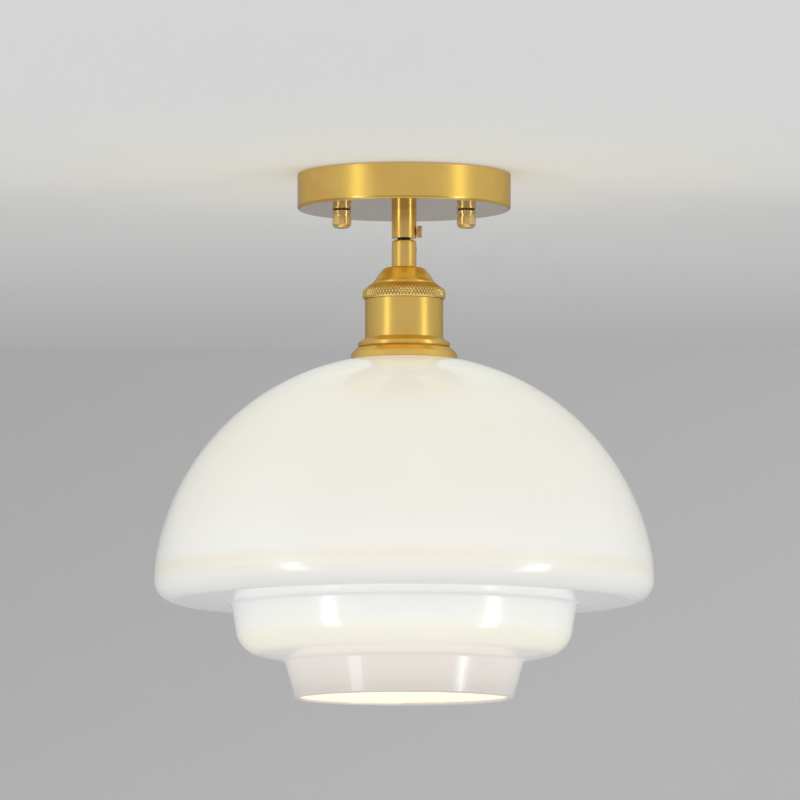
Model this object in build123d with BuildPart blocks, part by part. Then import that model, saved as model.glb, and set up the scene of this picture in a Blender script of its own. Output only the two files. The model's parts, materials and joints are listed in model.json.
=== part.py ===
from build123d import *
from math import atan2, cos, radians, sin, sqrt, tan
import os

# Opaline pendant light, drawn up short under its brass canopy.
# Millimetres, +Z up. The origin is the middle of the fixing strap's top face, in the ceiling plane.
# Names ending in _level are heights; everything hangs below the ceiling, so they are negative.

# Clearances shared by the whole lamp
thread_gap = 0.05        # radial, between a thread and its nut, both drawn at their crests
hole_gap = 0.2           # radial, a stud or nipple in a plain hole
running_gap = 0.1        # a piece that turns on another
seat_gap = 0.3           # a cover that doesn't quite touch what it hides
overcut = 1.0            # how far a cut runs past the face it opens

# Fixing strap on the ceiling, with two slots for the ceiling screws
strap_length = 100.0
strap_width = 20.0
strap_thickness = 2.0
strap_corner = 3.0
slot_spacing = 40.0
slot_length = 12.0
slot_width = 5.0
plate_left = -14.0       # terminal plate, a tab on the strap's rear side
plate_right = 27.0
plate_depth = 22.0

# Studs that carry the canopy, and the nuts that lock them to the strap
stud_spacing = 70.0
stud_radius = 2.0
stud_length = 26.0
stud_head_radius = 3.7
stud_chamfer = 0.5
lock_nut_flats = 7.0
lock_nut_height = 3.2

# Canopy, a flat brass cup
canopy_radius = 60.0
canopy_height = 19.7
canopy_wall = 1.0
canopy_edge = 1.6        # outer rounding of the bottom edge
ceiling_gap = 0.6        # shadow line between the rim and the ceiling

# Knurled cap nuts under the canopy, each with a thin washer
cap_washer_radius = 4.8
cap_washer_thickness = 0.5
cap_nut_radius = 5.3
cap_collar_height = 2.0
cap_groove_radius = 4.6
cap_groove_height = 1.5
cap_body_height = 4.5
cap_dome_height = 1.9
cap_tip_radius = 4.1
cap_bore_depth = 7.8
cap_nut_edge = 0.3
cap_dome_round = 3.0
cap_knurl_count = 32
cap_knurl_radius = 0.22

# Cord and the two brass grips that hold it
cord_radius = 3.5
cord_gap = 0.35          # radial, cord in its bore
grip_radius = 6.95
upper_grip_length = 16.2
lower_grip_length = 15.25
upper_grip_edge = 0.4
lower_grip_edge = 1.2
grip_spacing = 1.2       # bare cord between the grips
neck_gap = 0.1           # between the cord's ball and its two sockets
nipple_radius = 5.0
nipple_bore = 3.8
nipple_grip_depth = 7.0  # thread length inside each grip
nipple_end_gap = 0.4
hex_flats = 14.0
hex_height = 3.0
canopy_washer_radius = 9.0
canopy_washer_thickness = 0.8
nipple_proud = 1.3       # thread standing past its nut
sheath_proud = 1.6       # cord sheath standing past the nipple

# Thumb screws that clamp the cord
screw_radius = 1.5
screw_head_radius = 3.4
screw_head_length = 2.6
screw_head_standoff = 0.45
screw_head_edge = 0.35
screw_tip_gap = 0.05
screw_knurl_count = 24
screw_knurl_radius = 0.2
upper_screw_drop = 12.3  # below the canopy
upper_screw_angle = 0.0
lower_screw_drop = 4.4   # below the lower grip's top
lower_screw_angle = 64.0

# Dome cap of the lampholder
dome_wall = 1.2
dome_shoulder_radius = 11.2
dome_shoulder_round = 4.0
dome_waist_radius = 14.6
dome_waist_drop = 4.2
dome_foot_radius = 16.2
dome_foot_drop = 6.9
dome_brim_radius = 17.5
dome_brim_drop = 8.4
dome_rim_drop = 11.85
dome_flange_radius = 19.3
dome_waist_round = 5.0
dome_foot_round = 1.5

# Earth tag under the dome cap's roof
tag_radius = 7.6
tag_reach = 9.0
tag_width = 3.4
tag_strip = 0.6

# Knurled union ring round the dome cap's flange
ring_radius = 23.3
ring_lip_rise = 2.3      # thickness of the lip over the flange
ring_top_radius = 18.6
ring_shoulder_drop = 3.5
ring_height = 8.6
ring_foot_radius = 22.5
ring_foot_height = 1.0
ring_shoulder_round = 3.2
ring_edge = 0.3
ring_foot_round = 0.5

# Body shell of the lampholder
shell_radius = 22.0
shell_wall = 1.2
shell_neck_radius = 19.5
shell_height = 21.9      # the visible part, below the ring

# Threaded sleeve that passes through the glass
sleeve_radius = 19.0
sleeve_wall = 1.2
sleeve_collar_radius = 20.2
sleeve_collar_height = 1.4
sleeve_drop = 28.6       # below the body shell
sleeve_lip_radius = 16.9
sleeve_lip_height = 1.0
sleeve_pitch = 2.5
sleeve_thread_depth = 0.7
sleeve_thread_turns = 4
sleeve_thread_start = 1.75    # lowest groove above the sleeve's end
sleeve_edge = 0.3

# Stepped shade carrier
carrier_height = 12.0
carrier_spigot_height = 4.0   # screwed up into the body shell
carrier_top_radius = 22.3
bead_radius = 25.8
bead_drop = 2.6
bead_height = 1.9
undercut_radius = 25.1
undercut_height = 0.6
carrier_round_radius = 27.2
carrier_round_drop = 5.9
carrier_hip_radius = 29.5
carrier_hip_drop = 8.6
carrier_radius = 30.7
carrier_skirt_wall = 1.7
carrier_skirt_depth = 1.0
carrier_land = 2.5
carrier_cavity_roof = 7.8
carrier_cavity_step = 2.6    # inwards from the skirt's inside
bead_edge = 0.25
carrier_round = 1.5
carrier_hip_round = 3.5

# Seals above and below the glass
gasket_inner_radius = 19.6
gasket_radius = 28.0
lower_gasket_thickness = 1.5

# Opal glass shade: a dome, a collar and a mouth, one blown wall
shade_hole_radius = 21.0
shade_flat_radius = 31.6
shade_radius = 140.1
shade_wall = 3.0
dome_top_curve = 135.7
dome_side_curve = 87.0
dome_side_angle = 11.1
dome_edge_curve = 12.2
dome_underside_slope = 2.5
collar_radius = 96.7
collar_taper = 9.2
collar_height = 28.9
collar_edge_curve = 15.8
collar_underside_slope = 12.0
mouth_top_radius = 67.0
mouth_radius = 60.9
mouth_height = 21.6
crease_curve = 2.5
mouth_lip = 1.3

# Ring that screws up under the glass
shade_ring_flange = 28.0
shade_ring_thickness = 2.0
shade_ring_hub = 23.0
shade_ring_height = 8.0
shade_ring_notches = 6
shade_ring_notch_width = 6.0
shade_ring_notch_height = 4.5
shade_ring_notch_floor = 1.5  # wall left behind a notch
shade_ring_edge = 0.6

# Porcelain insert, its screw shell and its spring contact
insert_radius = 17.6
insert_flange_radius = 18.1
insert_flange_height = 6.0
insert_floor = 10.0
insert_bore = 14.75
insert_top_drop = 10.0   # below the top of the body shell's neck
insert_edge = 0.8
insert_foot_edge = 0.4
socket_crest = 13.55
socket_root = 14.15
socket_wall = 0.4
socket_top_drop = 4.5    # below the porcelain's floor
socket_length = 23.6
socket_lead_in = 2.0
thread_pitch = 3.63
thread_turns = 5
contact_strip = 0.5
contact_width = 5.0
contact_post = 5.0
contact_drop = 3.0
contact_tongue_end = -3.5
contact_tongue_bend = 1.0
contact_bend_drop = 0.4
slot_gap = 0.3           # all round a contact strip in its slot
terminal_reach = 13.9
neutral_plate_end = 7.0
terminal_width = 9.0
terminal_screw_radius = 1.2
terminal_screw_reach = 6.0
terminal_head_edge = 0.5
terminal_slot_width = 0.7
terminal_slot_depth = 0.8
terminal_head_radius = 2.4
terminal_head_height = 2.0
terminal_offset = 10.5
terminal_screw_shift = 1.6
terminal_lead_shift = -3.3

# Bulb, a common opal globe lamp with an Edison screw cap
bulb_tip_gap = 0.1
bulb_tip_radius = 4.6
bulb_tip_height = 1.3
bulb_insulator_height = 2.9
bulb_insulator_radius = 11.0
bulb_insulator_step = 0.8
bulb_tip_edge = 0.6
bulb_cap_crest = 13.15
bulb_cap_root = 12.3
bulb_cap_wall = 0.4
bulb_cap_height = 22.8
bulb_cap_lead_in = 1.5
bulb_collar_step = 0.4
bulb_collar_edge = 0.3
bulb_neck_round = 8.0
bulb_neck_radius = 14.5
bulb_neck_drop = 5.7
bulb_globe_radius = 30.0
bulb_cone_angle = 20.0
bulb_housing_height = 31.7
bulb_length = 110.7
bulb_wall = 1.2
bulb_globe_middle = -35.0     # degrees, a point of the globe's arc between its ends
bulb_board_thickness = 1.5
led_count = 8
led_circle = 12.0
led_length = 3.5
led_width = 2.8
led_height = 0.8

# Wires
core_radius = 1.1
wire_radius = 0.65
core_offset = 1.35
core_bend = 2.6
core_run_in = 6.9        # straight run of a core before its pole
lead_drop = 4.0
lead_run_in = 5.5
earth_lead_drop = 4.2
earth_lead_bend = 3.2
core_insert = 0.5        # how far a core reaches into a tag's barrel
tag_thickness = 0.8
tag_barrel_radius = 1.7
tag_barrel_length = 4.0
link_bend = 4.0
link_loop = 8.0          # how far the earth link runs out behind the block

# Terminal block on the strap's plate
block_width = 26.0
block_depth = 17.0
block_height = 12.0
block_setback = 3.0      # from the strap's edge
block_corner = 1.2
pole_pitch = 8.0
pole_level = -8.5
tube_radius = 2.2
tube_bore = 1.5
tube_inset = 1.5
well_radius = 1.8
well_spacing = 8.0
clamp_screw_radius = 1.45
clamp_screw_sink = 1.0
clamp_slot_width = 0.5
clamp_slot_depth = 0.7
fixing_screw_radius = 1.4
fixing_screw_inset = 0.4
fixing_head_radius = 2.5
fixing_head_height = 1.7
fixing_head_edge = 0.6
fixing_bore_depth = 2.0
fixing_cross_length = 3.4
fixing_cross_width = 0.7
fixing_cross_depth = 0.9
earth_screw_radius = 1.9
earth_screw_inset = 0.3
earth_head_radius = 3.6
earth_head_height = 2.4
earth_head_edge = 1.0
earth_slot_width = 0.9
earth_slot_depth = 1.1
ring_tag_radius = 4.1
ring_tag_width = 3.0
ring_tag_reach = 5.0     # from its screw to its barrel
ring_tag_overlap = 1.5
ring_tag_lift = 0.4
earth_screw_x = 21.0
earth_screw_setback = 10.0

# Levels from the ceiling down
canopy_level = -ceiling_gap - canopy_height
canopy_floor_level = canopy_level + canopy_wall
cap_nut_level = canopy_level - cap_washer_thickness
upper_grip_end = canopy_level - upper_grip_length
swing_level = upper_grip_end - grip_spacing / 2
lower_grip_top = upper_grip_end - grip_spacing
dome_top = lower_grip_top - lower_grip_length
flange_top = dome_top - dome_rim_drop
flange_bottom = flange_top - dome_wall
ring_top = flange_top + running_gap + ring_lip_rise
ring_bottom = ring_top - ring_height
shell_top = ring_bottom - running_gap
shell_bottom = shell_top - shell_height
carrier_bottom = shell_bottom - carrier_height
shade_top = carrier_bottom - seat_gap
sleeve_bottom = shell_bottom - sleeve_drop
insert_top = flange_bottom - insert_top_drop
insert_floor_level = insert_top - insert_floor
insert_bottom = sleeve_bottom + sleeve_lip_height
socket_top = insert_floor_level - socket_top_drop
contact_level = insert_floor_level - contact_drop
bulb_top = contact_level - bulb_tip_gap
bulb_bottom = bulb_top - bulb_length
globe_level = bulb_bottom + bulb_globe_radius
tip_bottom = bulb_top - bulb_tip_height
cap_top = tip_bottom - bulb_insulator_height
cap_bottom = cap_top - bulb_cap_height
housing_bottom = cap_bottom - bulb_housing_height
stud_x = stud_spacing / 2
block_front = strap_width / 2 + block_setback
block_back = block_front + block_depth
block_middle = (block_front + block_back) / 2
block_bottom = -strap_thickness - block_height
earth_screw_y = strap_width / 2 + earth_screw_setback
canopy_nut_top = canopy_floor_level + canopy_washer_thickness + hex_height
upper_nipple_top = canopy_nut_top + nipple_proud
upper_sheath_end = upper_nipple_top + sheath_proud
tag_top = dome_top - dome_wall
lower_nut_bottom = tag_top - tag_thickness - hex_height
lower_nipple_bottom = lower_nut_bottom - nipple_proud
lower_sheath_end = lower_nipple_bottom - sheath_proud


# Shared helpers

def lathe_plane(origin, direction):
    """A plane whose local X is a radius and whose local Y runs along the turning axis."""
    along = Vector(*direction).normalized()
    across = Vector(1, 0, 0) if abs(along.Z) > 0.9 else Vector(0, 0, 1)
    return Plane(origin=origin, x_dir=across, z_dir=across.cross(along))


def profile(*corners, origin=(0, 0, 0), direction=(0, 0, 1)):
    """A closed section from corners (radius, height) or (radius, height, rounding)."""
    with BuildSketch(lathe_plane(origin, direction)) as face:
        with BuildLine():
            Polyline(*[corner[:2] for corner in corners], close=True)
        make_face()
        for corner in corners:
            if len(corner) == 3:
                fillet(face.vertices().sort_by_distance((corner[0], corner[1], 0))[0], corner[2])
    return face.sketch


def tube(inner, outer, low, high):
    """The section of a plain ring or, with an inner radius of 0, a rod."""
    return profile((inner, low), (outer, low), (outer, high), (inner, high))


def polar(radius, angle, level=0):
    """A point at a radius and an angle in degrees about Z."""
    return (radius * cos(radians(angle)), radius * sin(radians(angle)), level)


def wave(crest, root, top, pitch, turns):
    """Corners of a thread drawn as rings, from the top down, starting and ending on a root."""
    corners = []
    for turn in range(turns):
        corners.append((root, top - turn * pitch))
        corners.append((crest, top - (turn + 0.5) * pitch))
    corners.append((root, top - turns * pitch))
    return corners


def route(*points, bend):
    """A wire's centre line: straight runs joined by arcs of one bend radius."""
    with BuildLine() as path:
        FilletPolyline(*points, radius=bend)
    return path.wires()[0]


def wire_ring(path, radius):
    """A round section square to the start of a path."""
    with BuildSketch(Plane(origin=path @ 0, z_dir=path % 0)) as face:
        Circle(radius)
    return face.sketch


# Fixing strap: a flat bar with a terminal plate behind it

with BuildPart() as ceiling_strap:
    with BuildSketch(Plane.XY.offset(-strap_thickness)):
        RectangleRounded(strap_length, strap_width, strap_corner)
        with Locations(((plate_left + plate_right) / 2, strap_width / 2 - 2 * strap_corner)):
            RectangleRounded(plate_right - plate_left, plate_depth + 2 * strap_corner, strap_corner,
                             align=(Align.CENTER, Align.MIN))
        with Locations((-slot_spacing / 2, 0), (slot_spacing / 2, 0)):
            SlotOverall(slot_length, slot_width, mode=Mode.SUBTRACT)
        with Locations((-pole_pitch / 2, block_middle)):
            Circle(fixing_screw_radius + thread_gap, mode=Mode.SUBTRACT)
        with Locations((earth_screw_x, earth_screw_y)):
            Circle(earth_screw_radius + thread_gap, mode=Mode.SUBTRACT)
    extrude(amount=strap_thickness)
    head_depth = stud_head_radius - stud_radius
    for x in (-stud_x, stud_x):
        sink = profile((0, overcut), (stud_head_radius + thread_gap + overcut, overcut),
                       (stud_radius + thread_gap, -head_depth),
                       (stud_radius + thread_gap, -strap_thickness - overcut),
                       (0, -strap_thickness - overcut), origin=(x, 0, 0))
        revolve(sink, axis=Axis((x, 0, 0), (0, 0, 1)), mode=Mode.SUBTRACT)

# Two countersunk studs, heads flush with the strap's top

with BuildPart() as canopy_studs:
    for x in (-stud_x, stud_x):
        stud = profile((0, 0), (stud_head_radius, 0), (stud_radius, -head_depth),
                       (stud_radius, -stud_length + stud_chamfer), (stud_radius - stud_chamfer, -stud_length),
                       (0, -stud_length), origin=(x, 0, 0))
        revolve(stud, axis=Axis((x, 0, 0), (0, 0, 1)))

with BuildPart() as stud_lock_nuts:
    with BuildSketch(Plane.XY.offset(-strap_thickness - lock_nut_height)):
        with Locations((-stud_x, 0), (stud_x, 0)):
            RegularPolygon(lock_nut_flats / 2, 6, major_radius=False)
            Circle(stud_radius + thread_gap, mode=Mode.SUBTRACT)
    extrude(amount=lock_nut_height)

# Terminal block with three brass tubes, each with two clamping screws from below

poles = [-pole_pitch, 0, pole_pitch]
wells = [(x, block_middle + side * well_spacing / 2) for x in poles for side in (-1, 1)]

with BuildPart() as terminal_block:
    with BuildSketch(Plane.XY.offset(block_bottom)):
        with Locations((0, block_middle)):
            RectangleRounded(block_width, block_depth, block_corner)
        with Locations((-pole_pitch / 2, block_middle)):
            Circle(fixing_screw_radius + thread_gap, mode=Mode.SUBTRACT)
    extrude(amount=block_height)
    with BuildSketch(Plane.XZ.offset(-block_back - overcut)):
        with Locations(*[(x, pole_level) for x in poles]):
            Circle(tube_radius + thread_gap)
    extrude(amount=block_depth + 2 * overcut, mode=Mode.SUBTRACT)
    with BuildSketch(Plane.XY.offset(block_bottom)):
        with Locations(*wells):
            Circle(well_radius)
    extrude(amount=pole_level - block_bottom, mode=Mode.SUBTRACT)
    with BuildSketch(Plane.XY.offset(block_bottom)):
        with Locations((-pole_pitch / 2, block_middle)):
            Circle(fixing_head_radius + hole_gap)
    extrude(amount=fixing_bore_depth, mode=Mode.SUBTRACT)

with BuildPart() as terminal_tubes:
    with BuildSketch(Plane.XZ.offset(-block_back + tube_inset)):
        with Locations(*[(x, pole_level) for x in poles]):
            Circle(tube_radius)
            Circle(tube_bore, mode=Mode.SUBTRACT)
    extrude(amount=block_depth - 2 * tube_inset)
    with BuildSketch(Plane.XY.offset(pole_level - tube_radius - overcut)):
        with Locations(*wells):
            Circle(clamp_screw_radius + thread_gap)
    extrude(amount=tube_radius + overcut, mode=Mode.SUBTRACT)

with BuildPart() as terminal_screws:
    clamp_bottom = block_bottom + clamp_screw_sink
    with BuildSketch(Plane.XY.offset(clamp_bottom)):
        with Locations(*wells):
            Circle(clamp_screw_radius)
    extrude(amount=pole_level - wire_radius - thread_gap - clamp_bottom)
    with BuildSketch(Plane.XY.offset(clamp_bottom)):
        with Locations(*wells):
            Rectangle(2 * clamp_screw_radius, clamp_slot_width)
    extrude(amount=clamp_slot_depth, mode=Mode.SUBTRACT)

with BuildPart() as terminal_fixing_screw:
    head_level = block_bottom + fixing_bore_depth
    fixing = profile((0, head_level - fixing_head_height),
                     (fixing_head_radius, head_level - fixing_head_height, fixing_head_edge),
                     (fixing_head_radius, head_level), (fixing_screw_radius, head_level),
                     (fixing_screw_radius, -fixing_screw_inset), (0, -fixing_screw_inset),
                     origin=(-pole_pitch / 2, block_middle, 0))
    revolve(fixing, axis=Axis((-pole_pitch / 2, block_middle, 0), (0, 0, 1)))
    with BuildSketch(Plane.XY.offset(head_level - fixing_head_height)):
        with Locations((-pole_pitch / 2, block_middle)):
            Rectangle(fixing_cross_length, fixing_cross_width)
            Rectangle(fixing_cross_width, fixing_cross_length)
    extrude(amount=fixing_cross_depth, mode=Mode.SUBTRACT)

# Earth screw under the plate, with the ring tag of the earth link

with BuildPart() as earth_screw:
    tag_level = -strap_thickness - tag_thickness
    earth_head_bottom = tag_level - earth_head_height
    screw = profile((0, earth_head_bottom), (earth_head_radius, earth_head_bottom, earth_head_edge),
                    (earth_head_radius, tag_level), (earth_screw_radius, tag_level),
                    (earth_screw_radius, -earth_screw_inset), (0, -earth_screw_inset),
                    origin=(earth_screw_x, earth_screw_y, 0))
    revolve(screw, axis=Axis((earth_screw_x, earth_screw_y, 0), (0, 0, 1)))
    with BuildSketch(Plane.XY.offset(earth_head_bottom)):
        with Locations((earth_screw_x, earth_screw_y)):
            Rectangle(2 * earth_head_radius + overcut, earth_slot_width)
    extrude(amount=earth_slot_depth, mode=Mode.SUBTRACT)

barrel_start = earth_screw_y + ring_tag_reach
barrel_level = -strap_thickness - tag_thickness - tag_barrel_radius + ring_tag_lift

with BuildPart() as earth_ring_tag:
    with BuildSketch(Plane.XY.offset(-strap_thickness - tag_thickness)):
        with Locations((earth_screw_x, earth_screw_y)):
            Circle(ring_tag_radius)
        with Locations((earth_screw_x, earth_screw_y + (ring_tag_reach + ring_tag_overlap) / 2)):
            Rectangle(ring_tag_width, ring_tag_reach + ring_tag_overlap)
        with Locations((earth_screw_x, earth_screw_y)):
            Circle(earth_screw_radius + hole_gap, mode=Mode.SUBTRACT)
    extrude(amount=tag_thickness)
    with BuildSketch(Plane.XZ.offset(-barrel_start - tag_barrel_length)):
        with Locations((earth_screw_x, barrel_level)):
            Circle(tag_barrel_radius)
    extrude(amount=tag_barrel_length)
    with BuildSketch(Plane.XZ.offset(-barrel_start - tag_barrel_length)):
        with Locations((earth_screw_x, barrel_level)):
            Circle(core_radius + thread_gap)
    extrude(amount=tag_barrel_length, mode=Mode.SUBTRACT)

# Cores of the cord in the canopy, and the earth link on the far side of the block

core_starts = [(-core_offset, -core_offset / 2), (0, core_offset), (core_offset, -core_offset / 2)]


def canopy_core(start, pole):
    """The route of one core, from the end of the cord's sheath to its pole of the block."""
    x, y = start
    points = [(x, y, upper_sheath_end), (x, y, pole_level)]
    if abs(pole) > core_radius:
        points.append((pole, block_front - core_run_in, pole_level))
    points.append((pole, block_front, pole_level))
    return route(*points, bend=core_bend)


with BuildPart() as core_live:
    path = canopy_core(core_starts[0], poles[0])
    sweep(wire_ring(path, core_radius), path=path)
    with BuildSketch(Plane(origin=(poles[0], block_front, pole_level), z_dir=(0, 1, 0))):
        Circle(wire_radius)
    extrude(amount=block_depth / 2)

with BuildPart() as core_neutral:
    path = canopy_core(core_starts[1], poles[1])
    sweep(wire_ring(path, core_radius), path=path)
    with BuildSketch(Plane(origin=(poles[1], block_front, pole_level), z_dir=(0, 1, 0))):
        Circle(wire_radius)
    extrude(amount=block_depth / 2)

with BuildPart() as core_earth:
    path = canopy_core(core_starts[2], poles[2])
    sweep(wire_ring(path, core_radius), path=path)
    with BuildSketch(Plane(origin=(poles[2], block_front, pole_level), z_dir=(0, 1, 0))):
        Circle(wire_radius)
    extrude(amount=block_depth / 2 - overcut)

link_reach = block_back + link_loop

with BuildPart() as earth_link:
    path = route((poles[2], block_back, pole_level), (poles[2], link_reach, pole_level),
                 (earth_screw_x, link_reach, barrel_level),
                 (earth_screw_x, barrel_start + core_insert, barrel_level), bend=link_bend)
    sweep(wire_ring(path, core_radius), path=path)
    with BuildSketch(Plane(origin=(poles[2], block_back, pole_level), z_dir=(0, -1, 0))):
        Circle(wire_radius)
    extrude(amount=block_depth / 2 - overcut)

# Canopy: a spun cup with two stud holes and a hole for the nipple

with BuildPart() as canopy:
    cup = profile((nipple_radius + hole_gap, canopy_level), (canopy_radius, canopy_level, canopy_edge),
                  (canopy_radius, -ceiling_gap), (canopy_radius - canopy_wall, -ceiling_gap),
                  (canopy_radius - canopy_wall, canopy_floor_level, canopy_edge - canopy_wall),
                  (nipple_radius + hole_gap, canopy_floor_level))
    revolve(cup)
    with BuildSketch(Plane.XY.offset(canopy_level)):
        with Locations((-stud_x, 0), (stud_x, 0)):
            Circle(stud_radius + hole_gap)
    extrude(amount=canopy_wall, mode=Mode.SUBTRACT)

with BuildPart() as canopy_washer:
    revolve(tube(nipple_radius + hole_gap, canopy_washer_radius,
                 canopy_floor_level, canopy_floor_level + canopy_washer_thickness))

with BuildPart() as canopy_nut:
    with BuildSketch(Plane.XY.offset(canopy_nut_top - hex_height)):
        RegularPolygon(hex_flats / 2, 6, major_radius=False)
        Circle(nipple_radius + thread_gap, mode=Mode.SUBTRACT)
    extrude(amount=hex_height)

with BuildPart() as upper_nipple:
    revolve(tube(nipple_bore, nipple_radius,
                 canopy_level - nipple_grip_depth + nipple_end_gap, upper_nipple_top))

# Cap nut, drawn once with its top face at height 0, then hung under each stud

cap_groove_top = -cap_collar_height
cap_body_top = cap_groove_top - cap_groove_height
cap_body_bottom = cap_body_top - cap_body_height
cap_nut_bottom = cap_body_bottom - cap_dome_height

with BuildPart() as cap_nut:
    revolve(profile((stud_radius + thread_gap, 0), (cap_nut_radius, 0, cap_nut_edge),
                    (cap_nut_radius, cap_groove_top, cap_nut_edge), (cap_groove_radius, cap_groove_top),
                    (cap_groove_radius, cap_body_top), (cap_nut_radius, cap_body_top, cap_nut_edge),
                    (cap_nut_radius, cap_body_bottom, cap_nut_edge),
                    (cap_tip_radius, cap_nut_bottom, cap_dome_round),
                    (0, cap_nut_bottom), (0, -cap_bore_depth), (stud_radius + thread_gap, -cap_bore_depth)))
    with BuildSketch(Plane.XY.offset(cap_body_bottom)):
        with PolarLocations(cap_nut_radius, cap_knurl_count):
            Circle(cap_knurl_radius)
    extrude(amount=cap_body_height, mode=Mode.SUBTRACT)
    with BuildSketch(Plane.XY.offset(cap_groove_top)):
        with PolarLocations(cap_nut_radius, cap_knurl_count):
            Circle(cap_knurl_radius)
    extrude(amount=cap_collar_height, mode=Mode.SUBTRACT)

with BuildPart() as left_cap_nut:
    with Locations((-stud_x, 0, cap_nut_level)):
        add(cap_nut.part)

with BuildPart() as right_cap_nut:
    with Locations((stud_x, 0, cap_nut_level)):
        add(cap_nut.part)

with BuildPart() as left_cap_washer:
    washer = profile((stud_radius + hole_gap, cap_nut_level), (cap_washer_radius, cap_nut_level),
                     (cap_washer_radius, canopy_level), (stud_radius + hole_gap, canopy_level),
                     origin=(-stud_x, 0, 0))
    revolve(washer, axis=Axis((-stud_x, 0, 0), (0, 0, 1)))

with BuildPart() as right_cap_washer:
    washer = profile((stud_radius + hole_gap, cap_nut_level), (cap_washer_radius, cap_nut_level),
                     (cap_washer_radius, canopy_level), (stud_radius + hole_gap, canopy_level),
                     origin=(stud_x, 0, 0))
    revolve(washer, axis=Axis((stud_x, 0, 0), (0, 0, 1)))

# Cord grips: two brass tubes, each threaded on its nipple and tapped for a thumb screw

grip_bore = cord_radius + cord_gap
upper_screw_level = canopy_level - upper_screw_drop
lower_screw_level = lower_grip_top - lower_screw_drop


def screw_plane(level, angle):
    """A plane on the lamp's axis, facing the way a thumb screw points."""
    return Plane(origin=(0, 0, level), x_dir=(0, 0, 1), z_dir=polar(1, angle))


with BuildPart() as upper_grip:
    revolve(profile((nipple_radius + thread_gap, canopy_level), (grip_radius, canopy_level),
                    (grip_radius, upper_grip_end, upper_grip_edge), (grip_bore, upper_grip_end),
                    (grip_bore, canopy_level - nipple_grip_depth),
                    (nipple_radius + thread_gap, canopy_level - nipple_grip_depth)))
    with BuildSketch(screw_plane(upper_screw_level, upper_screw_angle)):
        Circle(screw_radius + thread_gap)
    extrude(amount=grip_radius + overcut, mode=Mode.SUBTRACT)

with BuildPart() as lower_grip:
    revolve(profile((grip_bore, lower_grip_top), (grip_radius, lower_grip_top, lower_grip_edge),
                    (grip_radius, dome_top), (nipple_radius + thread_gap, dome_top),
                    (nipple_radius + thread_gap, dome_top + nipple_grip_depth),
                    (grip_bore, dome_top + nipple_grip_depth)))
    with BuildSketch(screw_plane(lower_screw_level, lower_screw_angle)):
        Circle(screw_radius + thread_gap)
    extrude(amount=grip_radius + overcut, mode=Mode.SUBTRACT)

# Thumb screw, drawn once along +Z from the lamp's axis, then turned to each grip

screw_head_start = grip_radius + screw_head_standoff
screw_head_end = screw_head_start + screw_head_length

with BuildPart() as thumb_screw:
    revolve(profile((0, cord_radius + screw_tip_gap), (screw_radius, cord_radius + screw_tip_gap),
                    (screw_radius, screw_head_start), (screw_head_radius, screw_head_start, screw_head_edge),
                    (screw_head_radius, screw_head_end, screw_head_edge), (0, screw_head_end)))
    with BuildSketch(Plane.XY.offset(screw_head_start)):
        with PolarLocations(screw_head_radius, screw_knurl_count):
            Circle(screw_knurl_radius)
    extrude(amount=screw_head_length, mode=Mode.SUBTRACT)

with BuildPart() as upper_thumb_screw:
    with Locations(screw_plane(upper_screw_level, upper_screw_angle)):
        add(thumb_screw.part)

with BuildPart() as lower_thumb_screw:
    with Locations(screw_plane(lower_screw_level, lower_screw_angle)):
        add(thumb_screw.part)

# Cord: two straight lengths with hollow ends, and the short flexing neck between them as a ball

with BuildPart() as cord_upper:
    revolve(tube(0, cord_radius, swing_level, upper_sheath_end))
    with Locations((0, 0, swing_level)):
        Sphere(cord_radius + neck_gap, mode=Mode.SUBTRACT)

with BuildPart() as cord_neck:
    with Locations((0, 0, swing_level)):
        Sphere(cord_radius)

with BuildPart() as cord_lower:
    revolve(tube(0, cord_radius, lower_sheath_end, swing_level))
    with Locations((0, 0, swing_level)):
        Sphere(cord_radius + neck_gap, mode=Mode.SUBTRACT)

# Dome cap on its nipple, with the earth tag and the hex nut under its roof

with BuildPart() as lower_nipple:
    revolve(tube(nipple_bore, nipple_radius,
                 lower_nipple_bottom, dome_top + nipple_grip_depth - nipple_end_gap))

with BuildPart() as dome_cap:
    waist_level = dome_top - dome_waist_drop
    foot_level = dome_top - dome_foot_drop
    brim_level = dome_top - dome_brim_drop
    inner_brim = dome_brim_radius - dome_wall
    inner_lift = dome_wall / 2
    revolve(profile((nipple_radius + hole_gap, dome_top),
                    (dome_shoulder_radius, dome_top, dome_shoulder_round),
                    (dome_waist_radius, waist_level, dome_waist_round),
                    (dome_foot_radius, foot_level, dome_foot_round),
                    (dome_brim_radius, brim_level), (dome_brim_radius, flange_top),
                    (dome_flange_radius, flange_top), (dome_flange_radius, flange_bottom),
                    (inner_brim, flange_bottom), (inner_brim, brim_level - inner_lift),
                    (dome_foot_radius - dome_wall, foot_level - inner_lift, dome_foot_round),
                    (dome_waist_radius - dome_wall, waist_level - inner_lift, dome_waist_round - dome_wall),
                    (dome_shoulder_radius - inner_lift, dome_top - dome_wall,
                     dome_shoulder_round - dome_wall),
                    (nipple_radius + hole_gap, dome_top - dome_wall)))

lower_barrel_top = lower_nut_bottom - seat_gap

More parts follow.
